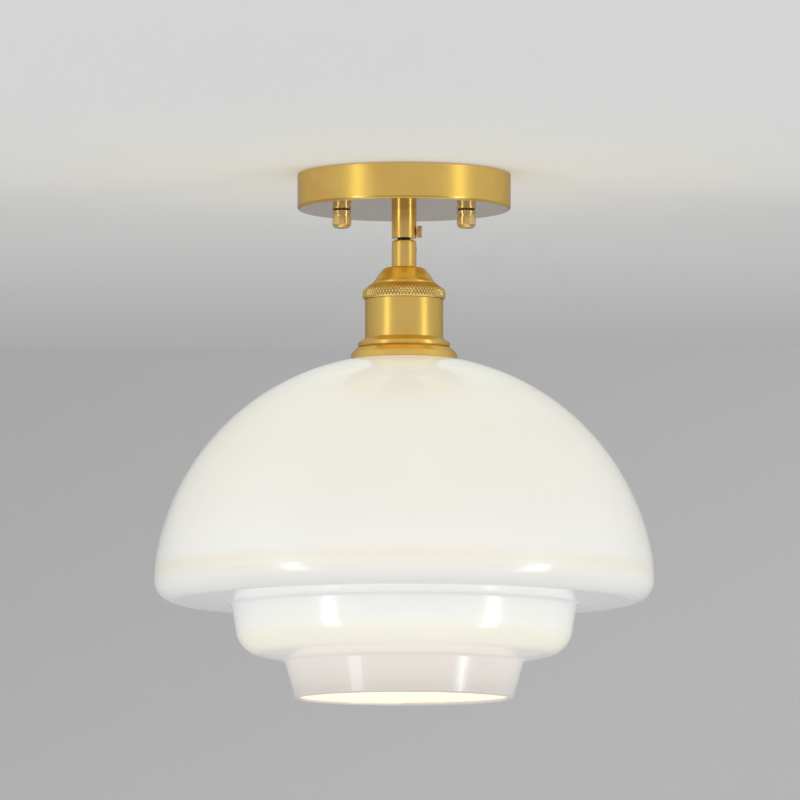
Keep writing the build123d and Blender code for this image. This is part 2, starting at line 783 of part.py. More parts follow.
with BuildPart() as earth_tag:
    with BuildSketch(Plane.XY.offset(tag_top - tag_thickness)):
        Circle(tag_radius)
        with Locations((0, tag_reach / 2)):
            Rectangle(tag_width, tag_reach)
        Circle(nipple_radius + hole_gap, mode=Mode.SUBTRACT)
    extrude(amount=tag_thickness)
    with BuildSketch(Plane.XY.offset(lower_barrel_top)):
        with Locations((0, tag_reach - tag_strip / 2)):
            Rectangle(tag_width, tag_strip)
    extrude(amount=tag_top - lower_barrel_top)
    with BuildSketch(Plane.XY.offset(lower_barrel_top - tag_barrel_length)):
        with Locations((0, tag_reach)):
            Circle(tag_barrel_radius)
            Circle(core_radius + thread_gap, mode=Mode.SUBTRACT)
    extrude(amount=tag_barrel_length)

with BuildPart() as cap_lock_nut:
    with BuildSketch(Plane.XY.offset(lower_nut_bottom)):
        RegularPolygon(hex_flats / 2, 6, major_radius=False)
        Circle(nipple_radius + thread_gap, mode=Mode.SUBTRACT)
    extrude(amount=hex_height)

# Union ring: its lip lies over the dome cap's flange and its thread takes the body shell's neck

with BuildPart() as union_ring:
    revolve(profile((dome_brim_radius + running_gap, ring_top), (ring_top_radius, ring_top, ring_edge),
                    (ring_radius, ring_top - ring_shoulder_drop, ring_shoulder_round),
                    (ring_radius, ring_bottom + ring_foot_height, ring_foot_round),
                    (ring_foot_radius, ring_bottom),
                    (shell_neck_radius + running_gap, ring_bottom),
                    (shell_neck_radius + running_gap, flange_top + running_gap),
                    (dome_brim_radius + running_gap, flange_top + running_gap)))

# Body shell: threaded neck over a plain barrel, open below

neck_inner = shell_neck_radius - shell_wall
shell_inner = shell_radius - shell_wall

with BuildPart() as body_shell:
    revolve(profile((neck_inner, flange_bottom), (shell_neck_radius, flange_bottom),
                    (shell_neck_radius, shell_top), (shell_radius, shell_top, ring_edge),
                    (shell_radius, shell_bottom), (shell_inner, shell_bottom),
                    (shell_inner, shell_top - shell_wall), (neck_inner, shell_top - shell_wall)))

# Threaded sleeve: its collar stands on the carrier's spigot and its lip carries the porcelain

sleeve_inner = sleeve_radius - sleeve_wall
sleeve_top = shell_bottom + carrier_spigot_height + sleeve_collar_height
thread_root = sleeve_radius - sleeve_thread_depth

with BuildPart() as threaded_sleeve:
    revolve(profile((sleeve_inner, sleeve_top), (sleeve_collar_radius, sleeve_top),
                    (sleeve_collar_radius, sleeve_top - sleeve_collar_height),
                    (sleeve_radius, sleeve_top - sleeve_collar_height),
                    (sleeve_radius, sleeve_bottom, sleeve_edge),
                    (sleeve_lip_radius, sleeve_bottom), (sleeve_lip_radius, insert_bottom),
                    (sleeve_inner, insert_bottom)))
    for turn in range(sleeve_thread_turns):
        groove = sleeve_bottom + sleeve_thread_start + turn * sleeve_pitch
        revolve(profile((thread_root, groove), (sleeve_radius + overcut, groove - sleeve_pitch / 2),
                        (sleeve_radius + overcut, groove + sleeve_pitch / 2)), mode=Mode.SUBTRACT)

# Shade carrier: a spigot inside the shell over a flange with a bead, an undercut and a rounded skirt

with BuildPart() as shade_carrier:
    bead_level = shell_bottom - bead_drop
    undercut_level = bead_level - bead_height - undercut_height
    gasket_roof = carrier_bottom + carrier_skirt_depth
    skirt_inner = carrier_radius - carrier_skirt_wall
    cavity_inner = sleeve_radius + hole_gap + carrier_land
    cavity_outer = skirt_inner - carrier_cavity_step
    cavity_roof = shell_bottom - carrier_cavity_roof
    spigot_top = shell_bottom + carrier_spigot_height
    spigot_radius = shell_inner - thread_gap
    revolve(profile((sleeve_radius + hole_gap, spigot_top), (spigot_radius, spigot_top),
                    (spigot_radius, shell_bottom), (carrier_top_radius, shell_bottom),
                    (bead_radius, bead_level, bead_edge),
                    (bead_radius, bead_level - bead_height, bead_edge),
                    (undercut_radius, undercut_level),
                    (carrier_round_radius, shell_bottom - carrier_round_drop, carrier_round),
                    (carrier_hip_radius, shell_bottom - carrier_hip_drop, carrier_hip_round),
                    (carrier_radius, carrier_bottom),
                    (skirt_inner, carrier_bottom), (skirt_inner, gasket_roof), (cavity_outer, gasket_roof),
                    (cavity_outer, cavity_roof), (cavity_inner, cavity_roof), (cavity_inner, gasket_roof),
                    (sleeve_radius + hole_gap, gasket_roof)))

with BuildPart() as upper_gasket:
    revolve(tube(gasket_inner_radius, gasket_radius, shade_top, carrier_bottom + carrier_skirt_depth))

# Opal glass shade: the outer line is drawn from the hole down to the mouth, then given its wall

side_angle = radians(dome_side_angle)
top_centre_r = shade_radius - dome_side_curve + (dome_side_curve - dome_top_curve) * cos(side_angle)
top_rise = sqrt(dome_top_curve ** 2 - (shade_flat_radius - top_centre_r) ** 2)
widest_level = shade_top - top_rise + (dome_top_curve - dome_side_curve) * sin(side_angle)
top_centre = (top_centre_r, shade_top - top_rise)
side_centre = (shade_radius - dome_side_curve, widest_level)
edge_centre = (shade_radius - dome_edge_curve, widest_level)


def on_circle(centre, radius, angle):
    """The point of a circle in the section at an angle in radians, measured up from the horizontal."""
    return (centre[0] + radius * cos(angle), centre[1] + radius * sin(angle))


def underside_end(centre, radius, under, end_radius):
    """Where the sloping underside that leaves a rounded edge at an angle ends at a smaller radius."""
    start = on_circle(centre, radius, under)
    return (end_radius, start[1] - (start[0] - end_radius) / tan(-under))


dome_under = radians(dome_underside_slope - 90)
dome_crease = underside_end(edge_centre, dome_edge_curve, dome_under, collar_radius)
taper = radians(collar_taper)
collar_centre_level = dome_crease[1] - collar_height + collar_edge_curve
collar_centre = (collar_radius - (dome_crease[1] - collar_centre_level) * tan(taper)
                 - collar_edge_curve / cos(taper), collar_centre_level)
collar_under = radians(collar_underside_slope - 90)
mouth_crease = underside_end(collar_centre, collar_edge_curve, collar_under, mouth_top_radius)
mouth_level = mouth_crease[1] - mouth_height
mouth_taper = atan2(mouth_top_radius - mouth_radius, mouth_height)


def arc(centre, radius, first, last):
    """An arc of the section between two angles about a centre."""
    ThreePointArc(on_circle(centre, radius, first), on_circle(centre, radius, (first + last) / 2),
                  on_circle(centre, radius, last))


def shade_ends(depth):
    """Where the line at a depth under the outer face starts at the hole and stops at the mouth."""
    return (shade_hole_radius, shade_top - depth), on_circle((mouth_radius, mouth_level), -depth, -mouth_taper)


def shade_line(depth):
    """The section's line at a depth under the outer face. Inside, a crease is an arc about its outer corner."""
    start, end = shade_ends(depth)
    top_curve = dome_top_curve - depth
    flat_height = start[1] - top_centre[1]
    flat_end = (top_centre_r + sqrt(top_curve ** 2 - flat_height ** 2), start[1])
    Line(start, flat_end)
    arc(top_centre, top_curve, atan2(flat_height, flat_end[0] - top_centre_r), side_angle)
    arc(side_centre, dome_side_curve - depth, side_angle, 0)
    arc(edge_centre, dome_edge_curve - depth, 0, dome_under)
    Line(on_circle(edge_centre, dome_edge_curve - depth, dome_under),
         on_circle(dome_crease, -depth, dome_under))
    if depth:
        arc(dome_crease, -depth, dome_under, -taper)
    Line(on_circle(dome_crease, -depth, -taper), on_circle(collar_centre, collar_edge_curve - depth, -taper))
    arc(collar_centre, collar_edge_curve - depth, -taper, collar_under)
    Line(on_circle(collar_centre, collar_edge_curve - depth, collar_under),
         on_circle(mouth_crease, -depth, collar_under))
    if depth:
        arc(mouth_crease, -depth, collar_under, -mouth_taper)
    Line(on_circle(mouth_crease, -depth, -mouth_taper), end)


with BuildPart() as opal_shade:
    with BuildSketch(Plane.XZ) as shade_section:
        hole_top, lip_outer = shade_ends(0)
        hole_foot, lip_inner = shade_ends(shade_wall)
        with BuildLine():
            shade_line(0)
            Line(lip_outer, lip_inner)
            shade_line(shade_wall)
            Line(hole_foot, hole_top)
        make_face()
        for corner, rounding in ((dome_crease, crease_curve), (mouth_crease, crease_curve),
                                 (lip_outer, mouth_lip), (lip_inner, mouth_lip)):
            fillet(shade_section.vertices().sort_by_distance((corner[0], corner[1], 0))[0], rounding)
    revolve(axis=Axis.Z)

# Seal and ring under the glass, screwed up the sleeve

glass_floor = shade_top - shade_wall
shade_ring_top = glass_floor - lower_gasket_thickness

with BuildPart() as lower_gasket:
    revolve(tube(gasket_inner_radius, gasket_radius, shade_ring_top, glass_floor))

with BuildPart() as shade_ring:
    bore = sleeve_radius + running_gap
    revolve(profile((bore, shade_ring_top), (shade_ring_flange, shade_ring_top),
                    (shade_ring_flange, shade_ring_top - shade_ring_thickness, shade_ring_edge),
                    (shade_ring_hub, shade_ring_top - shade_ring_thickness),
                    (shade_ring_hub, shade_ring_top - shade_ring_height, shade_ring_edge),
                    (bore, shade_ring_top - shade_ring_height)))
    with BuildSketch(Plane.XY.offset(shade_ring_top - shade_ring_height)):
        with PolarLocations(bore + shade_ring_notch_floor, shade_ring_notches):
            Rectangle(shade_ring_hub - bore, shade_ring_notch_width, align=(Align.MIN, Align.CENTER))
    extrude(amount=shade_ring_notch_height, mode=Mode.SUBTRACT)

# Porcelain insert: a thick disc over a cup, with slots for the two contact strips

strip_slot = contact_strip + 2 * slot_gap

with BuildPart() as porcelain_insert:
    revolve(profile((0, insert_top), (insert_flange_radius, insert_top, insert_edge),
                    (insert_flange_radius, insert_top - insert_flange_height, insert_foot_edge),
                    (insert_radius, insert_top - insert_flange_height),
                    (insert_radius, insert_bottom, insert_foot_edge),
                    (insert_bore, insert_bottom, insert_edge), (insert_bore, insert_floor_level),
                    (0, insert_floor_level)))
    with BuildSketch(Plane.XY.offset(insert_floor_level - overcut)):
        with Locations((contact_post + contact_strip / 2, 0)):
            Rectangle(strip_slot, contact_width + 2 * slot_gap)
        with Locations((-socket_crest - socket_wall / 2, 0)):
            Rectangle(strip_slot, contact_width + 2 * slot_gap)
        with Locations((-terminal_offset, terminal_screw_shift), (terminal_offset, terminal_screw_shift)):
            Circle(terminal_screw_radius + thread_gap)
    extrude(amount=insert_floor + 2 * overcut, mode=Mode.SUBTRACT)

with BuildPart() as screw_shell:
    ridges = wave(socket_root, socket_crest, socket_top - socket_lead_in, thread_pitch, thread_turns)
    inner_line = [(socket_crest, socket_top)] + ridges + [(socket_crest, socket_top - socket_length)]
    outer_line = [(radius + socket_wall, level) for radius, level in inner_line]
    revolve(profile(*inner_line, *reversed(outer_line)))
    with BuildSketch(Plane.XY.offset(socket_top)):
        with Locations((-socket_crest - socket_wall / 2, 0)):
            Rectangle(socket_wall, contact_width)
    extrude(amount=insert_top + contact_strip - socket_top)
    with BuildSketch(Plane.XY.offset(insert_top)):
        with Locations((-(terminal_reach + neutral_plate_end) / 2, 0)):
            Rectangle(terminal_reach - neutral_plate_end, terminal_width)
        with Locations((-terminal_offset, terminal_screw_shift)):
            Circle(terminal_screw_radius + thread_gap, mode=Mode.SUBTRACT)
    extrude(amount=contact_strip)

with BuildPart() as centre_contact:
    with BuildSketch(Plane.XY.offset(insert_top)):
        with Locations(((terminal_reach + contact_post) / 2, 0)):
            Rectangle(terminal_reach - contact_post, terminal_width)
        with Locations((terminal_offset, terminal_screw_shift)):
            Circle(terminal_screw_radius + thread_gap, mode=Mode.SUBTRACT)
    extrude(amount=contact_strip)
    with BuildSketch(Plane.XZ.offset(-contact_width / 2)):
        with BuildLine():
            Polyline((contact_post, insert_top), (contact_post, insert_floor_level - contact_bend_drop),
                     (contact_tongue_end, contact_level + contact_strip),
                     (contact_tongue_end, contact_level), (contact_tongue_bend, contact_level),
                     (contact_post + contact_strip, insert_floor_level - contact_bend_drop - slot_gap),
                     (contact_post + contact_strip, insert_top), close=True)
        make_face()
    extrude(amount=contact_width)

with BuildPart() as lamp_terminal_screws:
    for x in (-terminal_offset, terminal_offset):
        head_bottom = insert_top + contact_strip
        head_top = head_bottom + terminal_head_height
        clamp = profile((0, insert_top - terminal_screw_reach),
                        (terminal_screw_radius, insert_top - terminal_screw_reach),
                        (terminal_screw_radius, head_bottom), (terminal_head_radius, head_bottom),
                        (terminal_head_radius, head_top, terminal_head_edge), (0, head_top),
                        origin=(x, terminal_screw_shift, 0))
        revolve(clamp, axis=Axis((x, terminal_screw_shift, 0), (0, 0, 1)))
    with BuildSketch(Plane.XY.offset(head_top - terminal_slot_depth)):
        with Locations((-terminal_offset, terminal_screw_shift), (terminal_offset, terminal_screw_shift)):
            Rectangle(2 * terminal_head_radius + overcut, terminal_slot_width)
    extrude(amount=terminal_slot_depth, mode=Mode.SUBTRACT)

# Leads inside the lampholder


def lamp_lead(start, side):
    """The route of one lead, from the cord's lower end to its terminal plate."""
    x, y = start
    return route((x, y, lower_sheath_end), (x, y, lower_sheath_end - lead_drop),
                 (side * terminal_offset, terminal_lead_shift, insert_top + lead_run_in),
                 (side * terminal_offset, terminal_lead_shift, insert_top + contact_strip), bend=core_bend)


with BuildPart() as lead_live:
    path = lamp_lead(core_starts[2], 1)
    sweep(wire_ring(path, core_radius), path=path)

with BuildPart() as lead_neutral:
    path = lamp_lead(core_starts[0], -1)
    sweep(wire_ring(path, core_radius), path=path)

with BuildPart() as lead_earth:
    turn_level = lower_sheath_end - earth_lead_drop
    path = route((0, core_offset, lower_sheath_end), (0, core_offset, turn_level),
                 (0, tag_reach, turn_level), (0, tag_reach, lower_barrel_top - core_insert),
                 bend=earth_lead_bend)
    sweep(wire_ring(path, core_radius), path=path)

# Bulb: contact tip, insulator, screw cap, housing with its board, and globe

with BuildPart() as bulb_tip:
    revolve(profile((0, bulb_top), (bulb_tip_radius, bulb_top, bulb_tip_edge),
                    (bulb_tip_radius, tip_bottom), (0, tip_bottom)))

with BuildPart() as bulb_insulator:
    revolve(profile((0, tip_bottom), (bulb_tip_radius + bulb_insulator_step, tip_bottom),
                    (bulb_insulator_radius, cap_top), (0, cap_top)))

with BuildPart() as bulb_cap:
    ridges = wave(bulb_cap_crest, bulb_cap_root, cap_top - bulb_cap_lead_in, thread_pitch, thread_turns)
    outer_line = [(bulb_insulator_radius, cap_top)] + ridges + [(bulb_cap_crest, cap_bottom)]
    inner_line = [(radius - bulb_cap_wall, level) for radius, level in outer_line]
    inner_line[0] = (bulb_insulator_radius - bulb_cap_wall, cap_top - bulb_cap_wall)
    revolve(profile(*outer_line, *reversed(inner_line), (0, cap_top - bulb_cap_wall), (0, cap_top)))

cone_angle = radians(bulb_cone_angle)
cone_low = (bulb_globe_radius * cos(cone_angle), globe_level + bulb_globe_radius * sin(cone_angle))
neck_level = cap_bottom - bulb_neck_drop
split_share = (neck_level - housing_bottom) / (neck_level - cone_low[1])
split_radius = bulb_neck_radius + (cone_low[0] - bulb_neck_radius) * split_share

with BuildPart() as bulb_housing:
    revolve(profile((bulb_cap_crest - bulb_cap_wall, cap_bottom),
                    (bulb_cap_crest + bulb_collar_step, cap_bottom, bulb_collar_edge),
                    (bulb_neck_radius, neck_level, bulb_neck_round), (split_radius, housing_bottom),
                    (split_radius - 2 * bulb_wall, housing_bottom),
                    (bulb_neck_radius - 2 * bulb_wall, neck_level, bulb_neck_round),
                    (bulb_cap_crest - 2 * bulb_wall, cap_bottom)))

with BuildPart() as bulb_board:
    revolve(tube(0, split_radius - bulb_wall, housing_bottom - bulb_board_thickness, housing_bottom))
    with BuildSketch(Plane.XY.offset(housing_bottom - bulb_board_thickness - led_height)):
        with PolarLocations(led_circle, led_count):
            Rectangle(led_length, led_width)
    extrude(amount=led_height)

with BuildPart() as bulb_globe:
    with BuildSketch(Plane.XZ) as globe_section:
        with BuildLine():
            Line((split_radius, housing_bottom), cone_low)
            globe_middle = on_circle((0, globe_level), bulb_globe_radius, radians(bulb_globe_middle))
            ThreePointArc(cone_low, globe_middle, (0, bulb_bottom))
            offset(amount=bulb_wall, side=Side.RIGHT)
        make_face()
    revolve(axis=Axis.Z)

pieces = {
    "ceiling_strap": ceiling_strap,
    "canopy_studs": canopy_studs,
    "stud_lock_nuts": stud_lock_nuts,
    "terminal_block": terminal_block,
    "terminal_tubes": terminal_tubes,
    "terminal_screws": terminal_screws,
    "terminal_fixing_screw": terminal_fixing_screw,
    "earth_screw": earth_screw,
    "earth_ring_tag": earth_ring_tag,
    "core_live": core_live,
    "core_neutral": core_neutral,
    "core_earth": core_earth,
    "earth_link": earth_link,
    "canopy": canopy,
    "canopy_washer": canopy_washer,
    "canopy_nut": canopy_nut,
    "upper_nipple": upper_nipple,
    "upper_grip": upper_grip,
    "cord_upper": cord_upper,
    "left_cap_washer": left_cap_washer,
    "left_cap_nut": left_cap_nut,
    "right_cap_washer": right_cap_washer,
    "right_cap_nut": right_cap_nut,
    "upper_thumb_screw": upper_thumb_screw,
    "lower_thumb_screw": lower_thumb_screw,
    "cord_neck": cord_neck,
    "cord_lower": cord_lower,
    "lower_grip": lower_grip,
    "lower_nipple": lower_nipple,
    "dome_cap": dome_cap,
    "earth_tag": earth_tag,
    "cap_lock_nut": cap_lock_nut,
    "union_ring": union_ring,
    "body_shell": body_shell,
    "threaded_sleeve": threaded_sleeve,
    "shade_carrier": shade_carrier,
    "upper_gasket": upper_gasket,
    "opal_shade": opal_shade,
    "lower_gasket": lower_gasket,
    "shade_ring": shade_ring,
    "porcelain_insert": porcelain_insert,
    "screw_shell": screw_shell,
    "centre_contact": centre_contact,
    "lamp_terminal_screws": lamp_terminal_screws,
    "lead_live": lead_live,
    "lead_neutral": lead_neutral,
    "lead_earth": lead_earth,
    "bulb_tip": bulb_tip,
    "bulb_insulator": bulb_insulator,
    "bulb_cap": bulb_cap,
    "bulb_housing": bulb_housing,
    "bulb_board": bulb_board,
    "bulb_globe": bulb_globe,
}

os.makedirs("parts", exist_ok=True)
for name, piece in pieces.items():
    piece.part.label = name
    export_step(piece.part, f"parts/{name}.step")
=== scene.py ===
import json
from math import cos, pi, radians, sin, tan

import bpy
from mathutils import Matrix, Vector


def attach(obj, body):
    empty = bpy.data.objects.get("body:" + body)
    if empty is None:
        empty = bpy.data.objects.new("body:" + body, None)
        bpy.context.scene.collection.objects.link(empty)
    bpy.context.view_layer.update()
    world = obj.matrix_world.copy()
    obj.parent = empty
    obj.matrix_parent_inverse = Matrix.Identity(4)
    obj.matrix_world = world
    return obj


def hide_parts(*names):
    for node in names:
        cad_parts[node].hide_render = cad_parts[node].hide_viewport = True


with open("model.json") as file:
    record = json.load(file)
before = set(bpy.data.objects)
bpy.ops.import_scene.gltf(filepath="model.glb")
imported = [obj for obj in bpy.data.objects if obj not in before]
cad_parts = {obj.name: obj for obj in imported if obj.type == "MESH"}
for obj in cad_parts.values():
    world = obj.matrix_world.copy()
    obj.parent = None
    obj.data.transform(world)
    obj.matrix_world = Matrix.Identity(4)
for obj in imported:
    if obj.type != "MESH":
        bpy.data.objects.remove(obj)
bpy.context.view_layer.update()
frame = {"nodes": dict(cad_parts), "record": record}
nodes = frame["nodes"]
MM = 0.001

# Camera: a long lens far in front of the lamp, a little below it and looking up
CAMERA_PLACE = (-2.3 * MM, -5.8, -0.676)
CAMERA_PITCH = 5.4014
LENS = 467.2
SENSOR = 36
CLIP_END = 200

# Stage: the ceiling that the lamp hangs from, the wall behind it and a pale floor
CEILING_LEVEL = 0.3 * MM
WALL_PLACE = 0.99
FLOOR_LEVEL = -2.4
REACH = 30.0                             # from the lamp to the stage's edges
CEILING_PAINT = (0.80, 0.80, 0.80)
WALL_PAINT = (0.655, 0.648, 0.665)
# the wall's lighter foot is painted light
WALL_FOOT_PAINTED_LIGHT = (0.775, 0.765, 0.785)
FLOOR_PAINT = (0.60, 0.59, 0.57)
WALL_LIGHT_FADE = (0.10, -0.30)                # heights between which the wall's paint turns into its lighter foot's, as painted light
WALL_SLANT = -0.45                       # added to a point's height there for each metre to the right, so the painted light reaches higher on the right
# painted light on the ceiling, by place along Y
CEILING_LIFT = ((-1.6, 0.36), (-0.74, 0.323), (-0.25, 0.308), (0.08, 0.258),
                (0.21, 0.215), (0.39, 0.192), (0.68, 0.133), (0.90, 0.100))
HALO = (0.05, 0.30)                      # distances from the lamp's axis between which its warm light fades
HALO_COLOUR = (1.0, 0.93, 0.78)

# Soft boxes, as seen from the middle of the shade: each has a wide face and a narrower light just in
# front of it, which makes its middle brighter. Turns and tilt are in degrees, powers in watts
BOX_TARGET = (0, 0, -0.2)
BOX_DISTANCE = 2.2
BOX_STEP = 0.01
BOX_FACE = (0.50, 1.90)
BOX_MIDDLE = (0.22, 1.10)
BOX_TILT = -11.0
LEFT_BOX_TURN = -51.5
RIGHT_BOX_TURN = 62.0
LEFT_BOX_POWERS = (5.8, 2.2)
RIGHT_BOX_POWERS = (6.1, 2.4)
BOX_COLOUR = (0.90, 1.0, 1.04)

# Room light: dimmer and cooler behind the lamp than on the camera's side
BACK_LIGHT = (0.42, 0.42, 0.42)
FRONT_LIGHT = (0.66, 0.65, 0.62)
ROOM_TURN = (-1.0, 0.3)                  # directions along Y between which the one turns into the other

# All finishes: where most of a noise's values lie, and how deep its marks are
NOISE_RANGE = (0.3, 0.7)
MARK_DEPTH = 0.05 * MM

# Brass: its colours, the lines that a wheel leaves round it, and its clear lacquer
SATIN = (0.96, 0.61, 0.075)
POLISHED = (1.0, 0.60, 0.10)
PALE = (0.92, 0.66, 0.25)
KNURLED = (1.0, 0.68, 0.17)
BARE = (0.74, 0.55, 0.27)
EDGE_TINT = (0.45, 0.38, 0.30, 1.0)      # of the light that brass sends on at a glancing angle
PAINTED_GROOVE_SHADE = 0.22                      # of its brightness that brass keeps at the bottom of a groove, as painted shade
COARSE_LINES = (1900, 14)                # noise per metre, across the lines and along them
FINE_LINES = (8200, 26)
BRUSHED_BUMP = (0.12, 0.02)              # strength on slopes and on level faces
LACQUER_BUMP = (0.4, 0.02)
LEVEL_FACE = (0.8, 0.97)                 # upright share of the normal, from a slope to a level face
LEVEL_ROUGHNESS = 0.35                   # of the roughness elsewhere
LACQUER_ROUGHNESS = 0.1
LACQUER_IOR = 2.8

# Opal glass: its painted glow, standing in for the bulb's light through the wall, with lighter and darker
# bands from below its mouth to above its top
PAINTED_GLOW_HEIGHTS = (-0.300, -0.100)
PAINTED_GLOW = ((0.0, (0.22, 0.18, 0.17)), (0.04, (0.24, 0.20, 0.19)), (0.07, (0.31, 0.27, 0.26)),
        (0.12, (0.37, 0.32, 0.315)), (0.155, (0.53, 0.51, 0.43)), (0.18, (0.50, 0.47, 0.37)),
        (0.225, (0.43, 0.435, 0.43)), (0.285, (0.39, 0.39, 0.41)), (0.335, (0.41, 0.41, 0.39)),
        (0.375, (0.385, 0.345, 0.27)), (0.41, (0.385, 0.385, 0.38)), (0.535, (0.36, 0.353, 0.325)),
        (0.75, (0.36, 0.35, 0.30)), (0.86, (0.385, 0.38, 0.33)), (1.0, (0.47, 0.54, 0.50)))
MILK = ((0.800, 0.775, 0.715), (0.830, 0.810, 0.760))
GLASS_IOR = 1.5

# Bulb: the colour and strength of its light, and its globe's own colour
BULB_LIGHT = (1.0, 0.90, 0.74)
BULB_STRENGTH = 1.7
GLOBE_WHITE = (0.85, 0.83, 0.78, 1.0)


# Node helpers

class Nodes:
    """A short way to write a material's node tree."""

    def __init__(self, name):
        self.material = bpy.data.materials.new(name)
        self.material.use_nodes = True
        self.tree = self.material.node_tree
        self.tree.nodes.clear()
        self.output = self.tree.nodes.new("ShaderNodeOutputMaterial")

    def put(self, socket, value):
        if isinstance(value, bpy.types.NodeSocket):
            self.tree.links.new(value, socket)
        else:
            socket.default_value = value

    def add(self, kind, inputs=None, **settings):
        node = self.tree.nodes.new("ShaderNode" + kind)
        for name, value in settings.items():
            setattr(node, name, value)
        for key, value in (inputs or {}).items():
            self.put(node.inputs[key], value)
        return node

    def maths(self, operation, *values):
        node = self.add("Math", operation=operation)
        for socket, value in zip(node.inputs, values):
            self.put(socket, value)
        return node.outputs[0]

    def ramp(self, value, *stops):
        """A colour ramp through stops of (position, colour)."""
        node = self.add("ValToRGB", {"Fac": value})
        elements = node.color_ramp.elements
        while len(elements) < len(stops):
            elements.new(0.5)
        for element, (position, colour) in zip(elements, stops):
            element.position = position
            element.color = (*colour, 1.0)
        return node.outputs["Color"]

    def mix(self, factor, first, second, blend="MIX"):
        node = self.add("Mix", {"Factor": factor}, data_type="RGBA", blend_type=blend)
        self.put(node.inputs[6], first)
        self.put(node.inputs[7], second)
        return node.outputs[2]

    def span(self, value, low, high, to_low=0.0, to_high=1.0):
        node = self.add("MapRange", {"Value": value, "From Min": low, "From Max": high,
                                     "To Min": to_low, "To Max": to_high})
        return node.outputs["Result"]

    def place(self):
        """The point in the lamp's frame, whole and as its x, y and z."""
        coordinates = self.add("TexCoord").outputs["Object"]
        split = self.add("SeparateXYZ", {0: coordinates})
        return coordinates, split.outputs[0], split.outputs[1], split.outputs[2]

    def from_axis(self, x, y):
        squares = [self.maths("MULTIPLY", part, part) for part in (x, y)]
        return self.maths("SQRT", self.maths("ADD", *squares))

    def finish(self, shader):
        self.tree.links.new(shader, self.output.inputs["Surface"])
        return self.material


def turning_lines(n, across, along, detail):
    """Noise drawn out round the lamp's axis, as a lathe or a brushing wheel leaves it."""
    x, y, z = n.place()[1:]
    lines = n.maths("MULTIPLY", n.maths("ADD", z, n.from_axis(x, y)), across)
    vector = n.add("CombineXYZ", {0: n.maths("MULTIPLY", x, along),
                                  1: n.maths("MULTIPLY", y, along), 2: lines})
    return n.add("TexNoise", {"Vector": vector.outputs[0], "Scale": 1.0, "Detail": detail})


def brass(name, colour, roughness, anisotropy=0.0, brushing=0.5, tarnish=0.35, lacquer=(0.45, 0.95),
          paint_groove_shade=False):
    """Brass with fine turning lines, a slow change of tint and slightly dulled patches. lacquer is the weight
    of its clear coat on slopes and on level faces. It can also be darker where the mesh's groove attribute is
    high, as painted shade at the bottom of each groove."""
    n = Nodes(name)
    coordinates = n.place()[0]
    coarse = turning_lines(n, *COARSE_LINES, 3.0)
    fine = turning_lines(n, *FINE_LINES, 2.0)
    slow = n.add("TexNoise", {"Vector": coordinates, "Scale": 38.0, "Detail": 3.0, "Roughness": 0.6})
    lines = n.maths("ADD", n.maths("MULTIPLY", coarse.outputs["Fac"], 0.5),
                    n.maths("MULTIPLY", fine.outputs["Fac"], 0.5))
    dark = tuple(c * (1.0 - 0.5 * tarnish) for c in colour)
    deep = tuple(c * (1 - loss * tarnish) for c, loss in zip(colour, (0.15, 0.42, 0.75)))
    tint = n.ramp(n.span(slow.outputs["Fac"], *NOISE_RANGE), (0.0, deep), (0.55, colour), (1.0, colour))
    streak = n.ramp(n.span(lines, 0.35, 0.65), (0.0, dark), (1.0, colour))
    tone = n.mix(0.25 * brushing, tint, streak)
    # painted shade: darker at the bottom of each groove
    if paint_groove_shade:
        cut = n.add("Attribute", attribute_name="groove").outputs["Fac"]
        tone = n.mix(cut, tone, (*(PAINTED_GROOVE_SHADE * c for c in colour), 1.0))
    upright = n.add("SeparateXYZ", {0: n.add("NewGeometry").outputs["Normal"]}).outputs[2]
    level_face = n.span(n.maths("ABSOLUTE", upright), *LEVEL_FACE)
    rough = n.span(lines, *NOISE_RANGE, roughness * (1 - 0.25 * brushing), roughness * (1 + 0.3 * brushing))
    rough = n.maths("MULTIPLY", rough, n.span(level_face, 0.0, 1.0, 1.0, LEVEL_ROUGHNESS))
    strength = n.span(level_face, 0.0, 1.0, *(share * brushing for share in BRUSHED_BUMP))
    bump = n.add("Bump", {"Strength": strength, "Distance": MARK_DEPTH, "Height": lines})
    coat_strength = n.span(level_face, 0.0, 1.0, *(share * brushing for share in LACQUER_BUMP))
    coat_bump = n.add("Bump", {"Strength": coat_strength, "Distance": MARK_DEPTH, "Height": lines})
    coat = n.span(level_face, 0.0, 1.0, *lacquer)
    tangent = n.add("Tangent", direction_type="RADIAL", axis="Z")
    shader = n.add("BsdfPrincipled", {"Base Color": tone, "Metallic": 1.0, "Roughness": rough,
                                      "Anisotropic": anisotropy, "Anisotropic Rotation": 0.25,
                                      "Specular Tint": EDGE_TINT,
                                      "Coat Weight": coat, "Coat Roughness": LACQUER_ROUGHNESS,
                                      "Coat IOR": LACQUER_IOR,
                                      "Coat Normal": coat_bump.outputs["Normal"],
                                      "Normal": bump.outputs["Normal"],
                                      "Tangent": tangent.outputs["Tangent"]})
    return n.finish(shader.outputs[0])


def steel(name, colour, roughness):
    """Plated steel with a faint mottle."""
    n = Nodes(name)
    coordinates = n.place()[0]
    mottle = n.add("TexNoise", {"Vector": coordinates, "Scale": 420.0, "Detail": 4.0})
    dark = tuple(0.72 * c for c in colour)
    tint = n.ramp(n.span(mottle.outputs["Fac"], *NOISE_RANGE), (0.0, dark), (1.0, colour))
    rough = n.span(mottle.outputs["Fac"], *NOISE_RANGE, roughness * 0.8, roughness * 1.3)
    bump = n.add("Bump", {"Strength": 0.1, "Distance": MARK_DEPTH, "Height": mottle.outputs["Fac"]})
    shader = n.add("BsdfPrincipled", {"Base Color": tint, "Metallic": 1.0, "Roughness": rough,
                                      "Normal": bump.outputs["Normal"]})
    return n.finish(shader.outputs[0])


